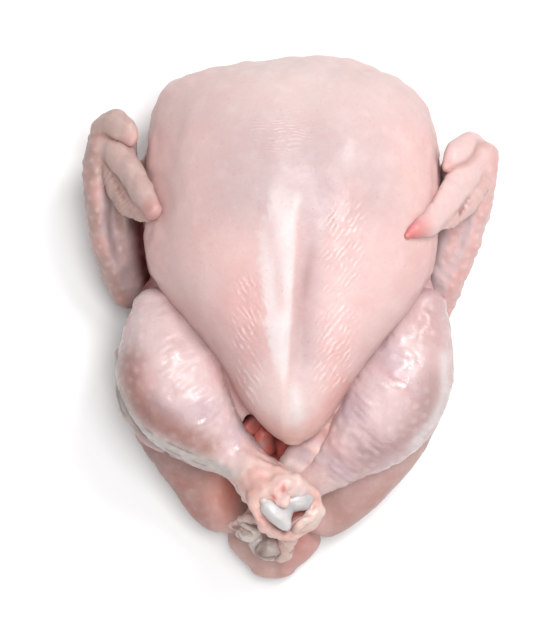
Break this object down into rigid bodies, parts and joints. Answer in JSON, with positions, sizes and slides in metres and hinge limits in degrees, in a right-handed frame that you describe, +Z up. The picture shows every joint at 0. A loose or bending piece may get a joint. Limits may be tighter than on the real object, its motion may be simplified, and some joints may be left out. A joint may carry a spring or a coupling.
{
  "type": "whole raw chicken",
  "caption": "Whole raw chicken, plucked and drawn, lying on its back with its legs crossed over the tail and its wings folded at its sides, with an open body cavity.",
  "frame": {"origin": "on the table, under the middle of the bird's bounding box", "axes": "+Y towards the neck end, +X towards the leg that is crossed underneath, +Z up from the back to the breast"},
  "size_m": [0.2108, 0.261, 0.1157],
  "materials": {
    "skin": "moist pale pink skin",
    "cartilage": "glossy bluish white cartilage"
  },
  "bodies": {
    "root": {"chicken": "skin", "left_leg_bone": "cartilage", "right_leg_bone": "cartilage"}
  },
  "joints": []
}
